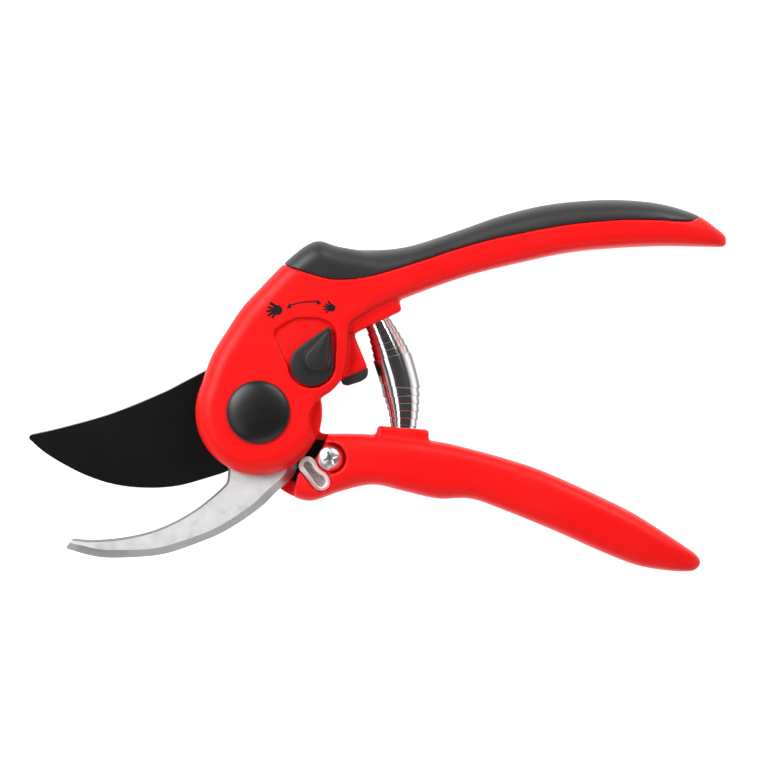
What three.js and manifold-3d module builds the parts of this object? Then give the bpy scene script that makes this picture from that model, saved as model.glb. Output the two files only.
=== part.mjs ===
// Bypass pruning shears, lying flat and open, in millimetres.
// The origin is on the pivot's axis at the plane the shears rest on. +Z runs out of the front
// face along the pivot, +X towards the ends of the handles, +Y towards the upper handle.

import * as THREE from "three";
import { mergeVertices } from "three/addons/utils/BufferGeometryUtils.js";
import Module from "manifold-3d";

const wasm = await Module();
wasm.setup();

// Driving dimensions ------------------------------------------------------------------------

// Layers along the pivot, from the back to the front.
const FRONT_Z = 20.3;
const MID_Z = FRONT_Z / 2;
const REAR_DISC_BACK_Z = 1.5;
const REAR_DISC_FRONT_Z = 7.0;
const CUTTING_BLADE_Z = [7.1, 10.1];
const COUNTER_BLADE_Z = [10.2, 13.7];
const PLATE_BACK_Z = 13.8;

// Round the pivot.
const ROTOR_R = 19.5;
const ROTOR_CLEARANCE_R = 20.3;
const HEAD_R = 19.4;
const COUNTER_HUB_R = 14.5;
const CUTTING_HUB_R = 14.8;
const BOLT_R = 4.5;
const THREAD_R = 4.0;
const BUSHING_R = 6.0;
const BOLT_HEAD_R = 7.8;
const BOLT_HEAD_Z = [16.85, 19.6];
const CAP_R = 9.65;
const NUT_ACROSS_FLATS = 13;
const RUNNING_GAP = 0.05;
const PARTING_GAP = 0.3;

// Dowels between the counter blade and the front plate.
const PIN_R = 1.5;
const PIN_Z = [10.3, 16];
const PIN_CIRCLE_R = 11;

// The opening selector: its axis, its shaft and its cam.
const DIAL = new THREE.Vector2(16.4, 14.6);
const DIAL_R = 6.6;
const DIAL_TIP = 11.3;
const DIAL_TIP_R = 1.2;
const DIAL_AT_REST = THREE.MathUtils.degToRad(64);
const DIAL_FLOOR_Z = 19.3;
const DIAL_SHAFT_R = 3.0;
const CAM_R = 4.0;
const CAM_LOBE = 5.0;
const CAM_LOBE_R = 1.5;
const CAM_AT_REST = THREE.MathUtils.degToRad(185);
const CAM_POCKET_R = 7.1;

// The screw and the key that hold the cutting blade's tang.
const BLADE_SCREW = new THREE.Vector2(22.1, -14.1);
const BLADE_SCREW_HEAD_R = 3.9;
const BLADE_SCREW_R = 2.4;
const COUNTERBORE_R = 4.85;
const COUNTERBORE_Z = 14.4;
const KEY_LOBES = [new THREE.Vector3(15, -16.4, 2.8), new THREE.Vector3(19.15, -21.4, 3.1)];
const KEY_WAIST_R = 4.5;
const KEY_Z = [10.15, 13.5];
const KEY_PIN_R = 1.6;
const FRONT_WALL_R = 22.4;

// The return spring and the two cups that hold it.
const SPRING_R = [3.5, 5.9];
const SPRING_TURNS = 8;
const STRIP_WIDTH = 5.4;
const STRIP_THICKNESS = 0.46;
const CUP_RECESS_R = 4.5;
const CUP_RECESS_DEPTH = 3;
const UPPER_CUP = { x: 36.4, y: 27.5, slope: 25.6, width: 16.4, wall: 9 };
const LOWER_CUP = { x: 44.4, y: -4.85, slope: -4.6, width: 16, wall: 6 };
const CUP_DEPTH_Z = 15;

// Facets of full circles.
const FINE = 36;
const COARSE = 20;
const HANDLE_FACETS = 16;

// Colours -------------------------------------------------------------------------------------

const paint = (color, roughness, metalness) =>
  new THREE.MeshStandardMaterial({ color, roughness, metalness });
const redEnamel = () => paint(0xe8141a, 0.35, 0.1);
const softGrip = () => paint(0x3a3736, 0.85, 0);
const blackPlastic = () => paint(0x1c1c1e, 0.5, 0);
const blackRubber = () => paint(0x161616, 0.9, 0);
const blackCoating = () => paint(0x151516, 0.45, 0.4);
const brightSteel = () => paint(0xc9cacc, 0.3, 1);
const chrome = () => paint(0xdddee0, 0.1, 1);
const zincPlate = () => paint(0xa9abae, 0.4, 1);
const bronze = () => paint(0xa5763c, 0.45, 1);

// Shapes --------------------------------------------------------------------------------------

const radians = THREE.MathUtils.degToRad;
const v2 = (x, y) => new THREE.Vector2(x, y);
const polar = (centre, r, angle) => v2(centre.x + r * Math.cos(angle), centre.y + r * Math.sin(angle));

const counterPins = [62, 208].map((angle) => polar(v2(0, 0), PIN_CIRCLE_R, radians(angle)));

// A closed triangle mesh as a solid, and back.
function solidOf(geometry) {
  const bare = geometry.clone();
  bare.deleteAttribute("normal");
  bare.deleteAttribute("uv");
  const merged = mergeVertices(bare, 1e-4);
  const vertProperties = new Float32Array(merged.attributes.position.array);
  const triVerts = new Uint32Array(merged.index.array);
  return new wasm.Manifold(new wasm.Mesh({ numProp: 3, vertProperties, triVerts }));
}

function meshOf(name, solid, material) {
  const raw = solid.getMesh();
  const geometry = new THREE.BufferGeometry();
  geometry.setAttribute("position", new THREE.BufferAttribute(raw.vertProperties, 3));
  geometry.setIndex(new THREE.BufferAttribute(raw.triVerts, 1));
  geometry.computeVertexNormals();
  const mesh = new THREE.Mesh(geometry, material);
  mesh.name = name;
  return mesh;
}

// A shape in X and Y, pushed out from one height to another.
function plate(shape, [low, high], curveSegments = 12) {
  const geometry = new THREE.ExtrudeGeometry(shape, {
    depth: high - low,
    bevelEnabled: false,
    curveSegments,
  });
  return solidOf(geometry.translate(0, 0, low));
}

// The same with its edges rounded over inside the shape's own outline.
function roundedPlate(shape, [low, high], round, curveSegments = 12) {
  const geometry = new THREE.ExtrudeGeometry(shape, {
    depth: high - low - 2 * round,
    bevelThickness: round,
    bevelSize: round,
    bevelOffset: -round,
    bevelSegments: 2,
    curveSegments,
  });
  return solidOf(geometry.translate(0, 0, low + round));
}

// The same grown sideways, for the room round a piece.
function grownPlate(shape, [low, high], growth, curveSegments = 12) {
  const rim = 0.01;
  const geometry = new THREE.ExtrudeGeometry(shape, {
    depth: high - low - 2 * rim,
    bevelThickness: rim,
    bevelSize: growth,
    bevelSegments: 1,
    curveSegments,
  });
  return solidOf(geometry.translate(0, 0, low + rim));
}

function cylinder(r, [low, high], centre = v2(0, 0), facets = FINE) {
  const geometry = new THREE.CylinderGeometry(r, r, high - low, facets);
  geometry.rotateX(Math.PI / 2);
  return solidOf(geometry.translate(centre.x, centre.y, (low + high) / 2));
}

function ring(inner, outer, [low, high], centre = v2(0, 0), facets = FINE) {
  const hole = cylinder(inner, [low - 1, high + 1], centre, facets);
  return cylinder(outer, [low, high], centre, facets).subtract(hole);
}

// A profile of radius and height turned about a vertical axis.
function turned(profile, centre = v2(0, 0), facets = FINE) {
  const points = profile.map(([r, z]) => v2(r, z));
  const geometry = new THREE.LatheGeometry(points, facets).rotateX(Math.PI / 2);
  return solidOf(geometry.translate(centre.x, centre.y, 0));
}

function box([x, y, z], [width, depth, height], angle = 0) {
  const geometry = new THREE.BoxGeometry(width, depth, height);
  geometry.rotateZ(angle);
  return solidOf(geometry.translate(x, y, z));
}

const polygon = (points) => new THREE.Shape(points.map(([x, y]) => v2(x, y)));

// Height of a smooth outline at a given x, for an outline whose x only grows.
function outline(points) {
  const curve = new THREE.SplineCurve(points.map(([x, y]) => v2(x, y)));
  const samples = curve.getPoints(points.length * 24);
  return (x) => {
    const after = Math.max(1, samples.findIndex((point) => point.x >= x));
    const a = samples[after - 1];
    const b = samples[after];
    return THREE.MathUtils.lerp(a.y, b.y, THREE.MathUtils.clamp((x - a.x) / (b.x - a.x), 0, 1));
  };
}

// A handle: rings across X between an upper and a lower outline. Each ring is a rounded square
// that gets softer from the head to the grip, and `inset` shrinks the whole body.
function handle({ start, end, top, bottom, halfDepth, squareness, stations, inset = 0 }) {
  const around = HANDLE_FACETS;
  const positions = [];
  const indices = [];
  const from = start + inset;
  const to = end - inset;
  for (let i = 0; i <= stations; i++) {
    const along = i / stations;
    const x = THREE.MathUtils.lerp(from, to, Math.sin((along * Math.PI) / 2) ** 1.4);
    const high = top(x) - inset;
    const low = bottom(x) + inset;
    const height = Math.max((high - low) / 2, 0.6);
    const depth = Math.max(halfDepth(x) - inset, 0.6);
    const power = 2 / squareness(x);
    for (let k = 0; k < around; k++) {
      const angle = (2 * Math.PI * k) / around;
      const c = Math.cos(angle);
      const s = Math.sin(angle);
      const y = (high + low) / 2 + height * Math.sign(c) * Math.abs(c) ** power;
      const z = MID_Z + depth * Math.sign(s) * Math.abs(s) ** power;
      positions.push(x, y, z);
    }
  }
  for (let i = 0; i < stations; i++) {
    for (let k = 0; k < around; k++) {
      const a = i * around + k;
      const b = i * around + ((k + 1) % around);
      indices.push(a, b, a + around, b, b + around, a + around);
    }
  }
  const last = stations * around;
  for (let k = 1; k < around - 1; k++) {
    indices.push(0, k + 1, k);
    indices.push(last, last + k, last + k + 1);
  }
  const geometry = new THREE.BufferGeometry();
  geometry.setAttribute("position", new THREE.Float32BufferAttribute(positions, 3));
  geometry.setIndex(indices);
  return solidOf(geometry);
}

// Half the depth of a handle: full at the head, waisted, full again in the palm, rounded off at
// the end.
function handleDepth(x, end) {
  const waist = THREE.MathUtils.smoothstep(x, 30, 55) - THREE.MathUtils.smoothstep(x, 70, 95);
  const towardsEnd = THREE.MathUtils.clamp((x - end + 40) / 40, 0, 1);
  return (MID_Z - 0.9 * waist) * Math.sqrt(1 - 0.9 * towardsEnd ** 4);
}

// A cup for the spring: a block that stands square to its own slope.
function cupBlock(cup, inward) {
  const angle = radians(cup.slope);
  const centre = polar(cup, (inward * cup.wall) / 2, angle + Math.PI / 2);
  return box([centre.x, centre.y, MID_Z], [cup.width, cup.wall, CUP_DEPTH_Z], angle);
}

function cupRecess(cup, inward) {
  const angle = radians(cup.slope);
  const centre = polar(cup, inward * (CUP_RECESS_DEPTH / 2 - 1), angle + Math.PI / 2);
  const geometry = new THREE.CylinderGeometry(CUP_RECESS_R, CUP_RECESS_R, CUP_RECESS_DEPTH + 2, COARSE);
  geometry.rotateZ(angle);
  return solidOf(geometry.translate(centre.x, centre.y, MID_Z));
}

// Upper handle --------------------------------------------------------------------------------

const upperTop = outline([
  [-12, 21], [-5, 32], [0, 37.5], [10, 47.6], [17.5, 52.4], [24, 50.9], [32.5, 49.8], [45, 50.7],
  [60, 55.3], [75, 60.5], [90, 63.9], [107, 65.2], [122, 64.2], [134, 60.8], [141, 56.2], [143.6, 53],
]);
const upperBottom = outline([
  [-12, 18], [0, 20], [16, 21], [27.5, 25.8], [36, 31.2], [50, 36.9], [65, 42.1], [80, 45.8],
  [95, 48.9], [110, 50.4], [125, 51], [140, 50.7], [143.6, 52],
]);
const upperGrip = {
  start: -8,
  end: 143.6,
  top: upperTop,
  bottom: upperBottom,
  halfDepth: (x) => handleDepth(x, 143.6),
  squareness: (x) => 4.5 - 1.9 * THREE.MathUtils.smoothstep(x, 20, 60),
  stations: 30,
};

// The front plate: a round head over the pivot, a long flank up to the grip's shoulder, and the
// boss of the dial down the right side.
function frontPlateShape() {
  const shape = new THREE.Shape();
  shape.absarc(0, 0, HEAD_R, radians(12.5), radians(-205), true);
  shape.splineThru([
    v2(-14.4, 17.2), v2(-9.4, 25.5), v2(-5, 32), v2(0, 37.5), v2(10, 47.6), v2(17.5, 52.4), v2(24, 50.9),
    v2(32.5, 49.8), v2(40, 50),
  ]);
  shape.quadraticCurveTo(50, 50.8, 50, 43);
  shape.quadraticCurveTo(50, 36, 42, 33.6);
  shape.splineThru([v2(36, 31.3), v2(29.7, 28.4), v2(27.4, 25.6)]);
  shape.splineThru([v2(27.3, 18.7), v2(26.4, 12.9), v2(25.1, 9.4), v2(22.3, 6.3)]);
  return shape;
}

// Where the soft grip stops: everything above this line is grip.
const gripLine = [
  [6, 46.5], [10, 44.3], [20, 41.2], [26, 40.6], [35, 41.8], [50, 46.3], [65, 51.2], [80, 54.7], [95, 57.4],
  [112, 59.1], [126, 59.3], [133, 60], [136.5, 63],
];
function gripRegion(drop) {
  const shape = new THREE.Shape();
  const [first, ...rest] = gripLine.map(([x, y]) => v2(x, y - drop));
  shape.moveTo(first.x, first.y);
  shape.splineThru(rest);
  shape.lineTo(150, 90);
  shape.lineTo(-20, 90);
  return shape;
}
const GRIP_SKIN = 2.4;

function dialRecess() {
  const shape = new THREE.Shape();
  shape.absarc(DIAL.x, DIAL.y, DIAL_R + 0.6, radians(190), radians(360), false);
  shape.splineThru([
    v2(23.8, 20), v2(23.4, 25.6), v2(19.6, 28.4), v2(14.5, 28.9), v2(10.4, 28.3), v2(5.2, 25.2),
  ]);
  shape.lineTo(4.9, 23.4);
  return plate(shape, [DIAL_FLOOR_Z, FRONT_Z + 1], 4);
}

const lockBoss = polygon([
  [17.5, 11], [21, 5.6], [24.4, 9.4], [25.8, 13], [26.6, 18.7], [26.6, 28], [14, 28],
]);
const bumperPost = polygon([[22, 12], [25.6, 9.9], [33.5, 13.3], [29.1, 24], [24, 24]]);

function upperHandleOuter() {
  return handle(upperGrip)
    .add(roundedPlate(frontPlateShape(), [11, FRONT_Z], 2.2, 5))
    .add(plate(lockBoss, [1.2, 12]))
    .add(plate(bumperPost, [3.6, 15.4]))
    .add(cupBlock(UPPER_CUP, 1));
}

function upperHandleCuts() {
  const rotorRoom = cylinder(ROTOR_CLEARANCE_R, [-1, PLATE_BACK_Z]);
  const pins = counterPins.map((pin) => cylinder(PIN_R + RUNNING_GAP, [10, PIN_Z[1] + 0.2], pin, COARSE));
  return [
    rotorRoom,
    cylinder(BOLT_R + RUNNING_GAP, [10, FRONT_Z + 1]),
    cylinder(BOLT_HEAD_R + 0.6, [BOLT_HEAD_Z[0] - 0.05, FRONT_Z + 1]),
    cylinder(CAM_POCKET_R, [5, PLATE_BACK_Z], DIAL, COARSE),
    cylinder(2.7, [-1, 6], DIAL, COARSE),
    cylinder(DIAL_SHAFT_R + RUNNING_GAP, [10, FRONT_Z], DIAL, COARSE),
    dialRecess(),
    cylinder(9.2, [16.6, FRONT_Z + 1], v2(24.6, -3.2)),
    cupRecess(UPPER_CUP, 1),
    ...pins,
  ];
}

function makeUpperHandle() {
  const outer = upperHandleOuter();
  const core = handle({ ...upperGrip, start: 12, end: 138, stations: 18, inset: GRIP_SKIN + PARTING_GAP });
  const cavity = handle({ ...upperGrip, start: 12, end: 138, stations: 18, inset: GRIP_SKIN });
  const cuts = upperHandleCuts();
  let body = outer.subtract(plate(gripRegion(PARTING_GAP), [-5, 30], 2)).add(core);
  for (const cut of cuts) {
    body = body.subtract(cut);
  }
  const grip = outer.intersect(plate(gripRegion(0), [-5, 30], 2)).subtract(cavity);
  return [
    meshOf("upper_handle_body", body, redEnamel()),
    meshOf("upper_grip_overmould", grip, softGrip()),
  ];
}

// The stop on the bumper post: its underside just clears the lower handle when the blades meet.
function makeBumper() {
  const shape = new THREE.Shape();
  shape.moveTo(25.3, 9.3);
  shape.quadraticCurveTo(25.6, 8.3, 27.4, 8.1);
  shape.lineTo(31.2, 9.3);
  shape.quadraticCurveTo(33.6, 10.3, 33.55, 12.9);
  return meshOf("bumper", plate(shape, [4.2, 14.8], 6), blackRubber());
}

// Blades --------------------------------------------------------------------------------------

function makeCounterBlade() {
  const hook = new THREE.Shape();
  hook.moveTo(-9, -6);
  hook.lineTo(-9.4, -18.3);
  hook.quadraticCurveTo(-9.5, -21.4, -11, -23);
  hook.splineThru([v2(-20, -30.3), v2(-30, -35.5), v2(-40, -38.2), v2(-50, -39.2), v2(-57, -38.8)]);
  hook.lineTo(-59, -41.2);
  hook.lineTo(-58.6, -42);
  hook.splineThru([
    v2(-50, -44.4), v2(-42, -44.75), v2(-30, -43.8), v2(-20, -40.7), v2(-10, -36.4), v2(0, -29.7),
    v2(5.2, -24.7),
  ]);
  hook.lineTo(11.4, -18.3);
  hook.lineTo(12, -6);
  let blade = plate(hook, COUNTER_BLADE_Z, 3).add(cylinder(COUNTER_HUB_R, COUNTER_BLADE_Z));
  blade = blade.subtract(cylinder(BUSHING_R + RUNNING_GAP, [0, FRONT_Z]));
  for (const pin of counterPins) {
    blade = blade.subtract(cylinder(PIN_R + RUNNING_GAP, [0, FRONT_Z], pin, COARSE));
  }
  return meshOf("counter_blade", blade, brightSteel());
}

const makePins = () =>
  counterPins.map((pin, i) =>
    meshOf(`counter_blade_pin_${i + 1}`, cylinder(PIN_R, PIN_Z, pin, COARSE), zincPlate()));

// The tang runs under the key and the screw.
const tang = polygon([
  [5, -12], [9.3, -20.9], [11.6, -21.6], [16, -24.2], [20.5, -25], [26, -20], [28.6, -15], [27.5, -10.6],
  [21, -8.8], [17.6, -8.4], [12, -5],
]);

function makeCuttingBlade() {
  const edge = new THREE.Shape();
  edge.moveTo(-6, 10);
  edge.lineTo(-15.5, 13);
  edge.splineThru([v2(-30, 5.9), v2(-45, -0.2), v2(-60, -4.5), v2(-69.6, -6.65)]);
  edge.quadraticCurveTo(-71.4, -7.3, -69.9, -8.9);
  edge.splineThru([
    v2(-65, -12.8), v2(-55, -18.3), v2(-45, -21.7), v2(-35, -22.9), v2(-25, -22.3), v2(-15, -19.8),
  ]);
  edge.lineTo(-6, -17);
  const lug = new THREE.Shape();
  lug.moveTo(3, 6);
  lug.lineTo(19.2 * Math.cos(radians(56.6)), 19.2 * Math.sin(radians(56.6)));
  lug.absarc(0, 0, 19.2, radians(56.6), radians(75), false);
  let blade = plate(edge, CUTTING_BLADE_Z, 3)
    .add(cylinder(CUTTING_HUB_R, CUTTING_BLADE_Z))
    .add(plate(lug, CUTTING_BLADE_Z, 6))
    .add(plate(tang, CUTTING_BLADE_Z));
  blade = blade
    .subtract(cylinder(BUSHING_R + RUNNING_GAP, [0, FRONT_Z]))
    .subtract(cylinder(BLADE_SCREW_R + 0.2, [0, FRONT_Z], BLADE_SCREW, COARSE));
  for (const lobe of KEY_LOBES) {
    blade = blade.subtract(cylinder(KEY_PIN_R + RUNNING_GAP, [0, FRONT_Z], lobe, COARSE));
  }
  return meshOf("cutting_blade", blade, blackCoating());
}

// Pivot ---------------------------------------------------------------------------------------

function makePivot() {
  const [headLow, headHigh] = BOLT_HEAD_Z;
  const bolt = turned([
    [0, 0], [THREAD_R - 0.5, 0], [THREAD_R, 0.5], [THREAD_R, 3.25], [BOLT_R, 3.25], [BOLT_R, headLow],
    [BOLT_HEAD_R, headLow], [BOLT_HEAD_R, headHigh - 0.6], [BOLT_HEAD_R - 0.6, headHigh], [0, headHigh],
  ]);
  const cap = turned([
    [0, 19.7], [8.2, 19.7], [8.2, 20.35], [CAP_R, 20.35], [CAP_R, 20.9], [9.1, 21.5], [7.4, 22.05], [4, 22.5],
    [0, 22.65],
  ]);
  const nutRadius = NUT_ACROSS_FLATS / 2 / Math.cos(Math.PI / 6);
  const nut = cylinder(nutRadius, [0.35, 2.5], v2(0, 0), 6)
    .subtract(cylinder(THREAD_R + RUNNING_GAP, [-1, 4]));
  return [
    meshOf("pivot_bolt", bolt, zincPlate()),
    meshOf("pivot_cap", cap, blackPlastic()),
    meshOf("pivot_bushing", ring(BOLT_R + RUNNING_GAP, BUSHING_R, [3.8, 13.75]), bronze()),
    meshOf("pivot_washer", ring(BOLT_R + RUNNING_GAP, 9, [3.3, 3.75]), zincPlate()),
    meshOf("pivot_spring_washer", ring(THREAD_R + RUNNING_GAP, 7.4, [2.55, 3.2]), zincPlate()),
    meshOf("pivot_nut", nut, zincPlate()),
  ];
}

// Dial ----------------------------------------------------------------------------------------

// A drop: a circle with straight sides to a small round tip.
function dropShape(centre, r, reach, tipR, angle) {
  const spread = Math.acos((r - tipR) / reach);
  const tip = polar(centre, reach, angle);
  const shape = new THREE.Shape();
  shape.absarc(centre.x, centre.y, r, angle + spread, angle + 2 * Math.PI - spread, false);
  shape.absarc(tip.x, tip.y, tipR, angle - spread, angle + spread, false);
  return shape;
}

function makeDial() {
  const skirt = dropShape(DIAL, DIAL_R, DIAL_TIP, DIAL_TIP_R, DIAL_AT_REST);
  const grip = dropShape(DIAL, 3.3, DIAL_TIP - 0.6, 0.8, DIAL_AT_REST);
  const screwHole = cylinder(1.25, [0, 16], DIAL, COARSE);
  const knob = plate(skirt, [19.35, 21.4], 12)
    .add(plate(grip, [21.3, 23.7], 8))
    .add(cylinder(DIAL_SHAFT_R, [8.6, 19.4], DIAL, COARSE))
    .subtract(screwHole);
  const cam = plate(dropShape(DIAL, CAM_R, CAM_LOBE, CAM_LOBE_R, CAM_AT_REST), [7.2, 10.1], 10)
    .add(cylinder(CAM_R, [10, 13.1], DIAL, COARSE))
    .subtract(cylinder(DIAL_SHAFT_R + RUNNING_GAP, [8.55, 20], DIAL, COARSE))
    .subtract(cylinder(1.25, [0, 10], DIAL, COARSE));
  const screw = turned(
    [[0, 5.75], [1.8, 5.75], [2.2, 6.3], [2.2, 7.15], [1.2, 7.15], [1.2, 15], [0, 15]], DIAL, COARSE,
  );
  const washer = ring(DIAL_SHAFT_R + RUNNING_GAP, 4.6, [13.15, 13.7], DIAL, COARSE);
  return [
    meshOf("dial_knob", knob, blackPlastic()),
    meshOf("dial_cam", cam, zincPlate()),
    meshOf("dial_wave_washer", washer, zincPlate()),
    meshOf("dial_screw", screw, zincPlate()),
  ];
}

// Lower handle --------------------------------------------------------------------------------

const lowerTop = outline([
  [4, -16], [14, -6.9], [21.3, -6.7], [30, -6.7], [37, -7.1], [55, -9.1], [65, -11.3], [75, -14], [85, -17.2],
  [95, -21.4], [105, -26], [115, -31], [125, -37.3], [132.5, -42.3], [135.7, -45.6],
]);
const lowerBottom = outline([
  [4, -22], [10, -25.7], [16.3, -27.3], [25, -24.4], [35, -22.3], [45, -24.4], [55, -26.6], [65, -26.6],
  [75, -30], [90, -36.1], [105, -42.8], [116, -47.2], [130, -49], [134.5, -48], [135.7, -46.4],
]);
const lowerGrip = {
  start: 6,
  end: 135.7,
  top: lowerTop,
  bottom: lowerBottom,
  halfDepth: (x) => handleDepth(x, 135.7),
  squareness: (x) => 4.5 - 1.9 * THREE.MathUtils.smoothstep(x, 30, 60),
  stations: 28,
};

function keyShape(inset) {
  const [a, b] = KEY_LOBES;
  const along = Math.atan2(b.y - a.y, b.x - a.x);
  const shape = new THREE.Shape();
  shape.absarc(a.x, a.y, a.z - inset, along + Math.PI / 2, along + 1.5 * Math.PI, false);
  shape.absarc(b.x, b.y, b.z - inset, along - Math.PI / 2, along + Math.PI / 2, false);
  return shape;
}
const keyWaist = (growth) => cylinder(KEY_WAIST_R + growth, [5, 25], BLADE_SCREW, COARSE);

function makeKey() {
  const [low, high] = KEY_Z;
  let key = plate(keyShape(0), [low, high]).subtract(keyWaist(0));
  key = key.subtract(plate(keyShape(1.3), [high - 0.9, high + 1]).subtract(keyWaist(1.3)));
  for (const lobe of KEY_LOBES) {
    key = key.add(cylinder(KEY_PIN_R, [4.2, low + 0.5], lobe, COARSE));
  }
  return meshOf("blade_key", key, chrome());
}

function makeLowerHandle() {
  const [tangLow, tangHigh] = CUTTING_BLADE_Z;
  const shoulder = polygon([[2, -16], [13, -16], [11.6, -21.5], [10.3, -32], [2, -32]]);
  let body = handle(lowerGrip)
    .add(cylinder(ROTOR_R, [REAR_DISC_BACK_Z, REAR_DISC_FRONT_Z]))
    .add(cupBlock(LOWER_CUP, -1));
  const cuts = [
    cylinder(FRONT_WALL_R, [REAR_DISC_FRONT_Z, 30]),
    plate(shoulder, [REAR_DISC_FRONT_Z, 30]),
    grownPlate(tang, [tangLow - 0.1, tangHigh + 0.1], PARTING_GAP),
    grownPlate(keyShape(0), [KEY_Z[0] - 0.1, 30], 0.2).subtract(keyWaist(-0.2)),
    cylinder(COUNTERBORE_R, [COUNTERBORE_Z, 30], BLADE_SCREW),
    cylinder(BLADE_SCREW_R + 0.1, [5, 20], BLADE_SCREW, COARSE),
    cylinder(3.65, [-1, REAR_DISC_FRONT_Z], BLADE_SCREW, COARSE),
    cylinder(BUSHING_R + RUNNING_GAP, [-1, 30]),
    cylinder(9.4, [-1, 3.8]),
    cupRecess(LOWER_CUP, -1),
    ...KEY_LOBES.map((lobe) => cylinder(KEY_PIN_R + RUNNING_GAP, [4, 12], lobe, COARSE)),
  ];
  for (const cut of cuts) {
    body = body.subtract(cut);
  }
  return meshOf("lower_handle_body", body, redEnamel());
}

function makeBladeScrew() {
  const head = COUNTERBORE_Z + 0.1;
  let screw = turned([
    [0, 1.6], [BLADE_SCREW_R - 0.5, 1.6], [BLADE_SCREW_R, 2.1], [BLADE_SCREW_R, head],
    [BLADE_SCREW_HEAD_R, head], [BLADE_SCREW_HEAD_R, head + 1.1], [3, head + 2.1], [1.6, head + 2.55],
    [0, head + 2.7],
  ], BLADE_SCREW, COARSE);
  for (const angle of [radians(20), radians(110)]) {
    screw = screw.subtract(box([BLADE_SCREW.x, BLADE_SCREW.y, head + 2.4], [4.4, 0.95, 2.6], angle));
  }
  const insert = ring(BLADE_SCREW_R + RUNNING_GAP, 3.6, [1.2, 6.95], BLADE_SCREW, COARSE);
  return [
    meshOf("blade_screw", screw, zincPlate()),
    meshOf("blade_screw_insert", insert, bronze()),
  ];
}

// Return spring -------------------------------------------------------------------------------

// A flat strip wound into a barrel about an arched line between the cups. The turns are closer
// and narrower towards each end, so that they slide inside one another.
function makeSpring() {
  const seat = CUP_RECESS_DEPTH - 0.3 - STRIP_WIDTH / 2;
  const lower = radians(LOWER_CUP.slope + 90);
  const upper = radians(UPPER_CUP.slope - 90);
  const start = polar(LOWER_CUP, -seat, lower);
  const end = polar(UPPER_CUP, -seat, upper);
  const reach = start.distanceTo(end) / 3;
  const axis = new THREE.CubicBezierCurve(start, polar(start, reach, lower), polar(end, reach, upper), end);
  const steps = SPRING_TURNS * 12;
  const corners = [[-1, 1], [1, 1], [1, -1], [-1, -1]];
  const positions = [];
  const indices = [];
  for (let i = 0; i <= steps; i++) {
    const spread = (2 * i) / steps - 1;
    const height = THREE.MathUtils.clamp(0.5 + 0.5 * (1.42 * spread - 0.42 * spread ** 3), 0, 1);
    const point = axis.getPointAt(height);
    const tangent = axis.getTangentAt(height);
    const side = v2(tangent.y, -tangent.x);
    const r = THREE.MathUtils.lerp(SPRING_R[1], SPRING_R[0], Math.abs(spread));
    const angle = (2 * Math.PI * SPRING_TURNS * i) / steps;
    for (const [radial, axial] of corners) {
      const out = r + (radial * STRIP_THICKNESS) / 2;
      const lift = (axial * STRIP_WIDTH) / 2;
      positions.push(
        point.x + side.x * out * Math.cos(angle) + tangent.x * lift,
        point.y + side.y * out * Math.cos(angle) + tangent.y * lift,
        MID_Z + out * Math.sin(angle),
      );
    }
  }
  for (let i = 0; i < steps; i++) {
    for (let k = 0; k < 4; k++) {
      const a = 4 * i + k;
      const b = 4 * i + ((k + 1) % 4);
      indices.push(a, a + 4, b, b, a + 4, b + 4);
    }
  }
  const last = 4 * steps;
  indices.push(0, 1, 2, 0, 2, 3, last, last + 2, last + 1, last, last + 3, last + 2);
  const geometry = new THREE.BufferGeometry();
  geometry.setAttribute("position", new THREE.Float32BufferAttribute(positions, 3));
  geometry.setIndex(indices);
  return meshOf("volute_spring", solidOf(geometry), chrome());
}

// The shears ----------------------------------------------------------------------------------

const upperSide = new THREE.Group();
upperSide.add(...makeUpperHandle(), makeBumper(), makeCounterBlade(), ...makePins());
upperSide.add(...makePivot(), makeSpring());

const dial = new THREE.Group();
dial.add(...makeDial());

const lowerSide = new THREE.Group();
lowerSide.add(makeLowerHandle(), makeCuttingBlade(), makeKey(), ...makeBladeScrew());

const shears = new THREE.Group();
shears.add(upperSide, dial, lowerSide);

export default shears;
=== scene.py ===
# %% [markdown]
# # Bypass pruning shears
#
# The shears lie open on a pale table: two red handles, a black cutting blade that passes a silver
# hook, and a return spring between the grips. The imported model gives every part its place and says
# what moves. One could paint that model as it is, but its surfaces are plain. So this lesson builds
# finished surfaces round it, piece by piece, and then the paints and metals. Lengths are written in
# millimetres and become metres as the vertices are placed.

import math

import bmesh
import bpy
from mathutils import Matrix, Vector


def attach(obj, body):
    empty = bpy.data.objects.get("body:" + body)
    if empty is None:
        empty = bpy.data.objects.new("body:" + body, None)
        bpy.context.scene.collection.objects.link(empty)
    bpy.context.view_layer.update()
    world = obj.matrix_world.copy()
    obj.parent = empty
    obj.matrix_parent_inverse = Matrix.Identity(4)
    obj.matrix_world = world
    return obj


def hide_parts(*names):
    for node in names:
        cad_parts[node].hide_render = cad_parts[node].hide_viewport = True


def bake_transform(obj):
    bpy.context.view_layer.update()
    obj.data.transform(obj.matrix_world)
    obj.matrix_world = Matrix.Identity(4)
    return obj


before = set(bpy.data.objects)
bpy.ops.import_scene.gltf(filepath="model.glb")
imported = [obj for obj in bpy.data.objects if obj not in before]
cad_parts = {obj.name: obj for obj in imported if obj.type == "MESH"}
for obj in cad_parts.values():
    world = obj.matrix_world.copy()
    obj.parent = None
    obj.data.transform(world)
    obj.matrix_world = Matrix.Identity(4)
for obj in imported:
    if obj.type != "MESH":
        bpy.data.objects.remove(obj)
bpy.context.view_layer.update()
MM = 0.001
TOUCHING = 0.002 * MM

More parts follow.
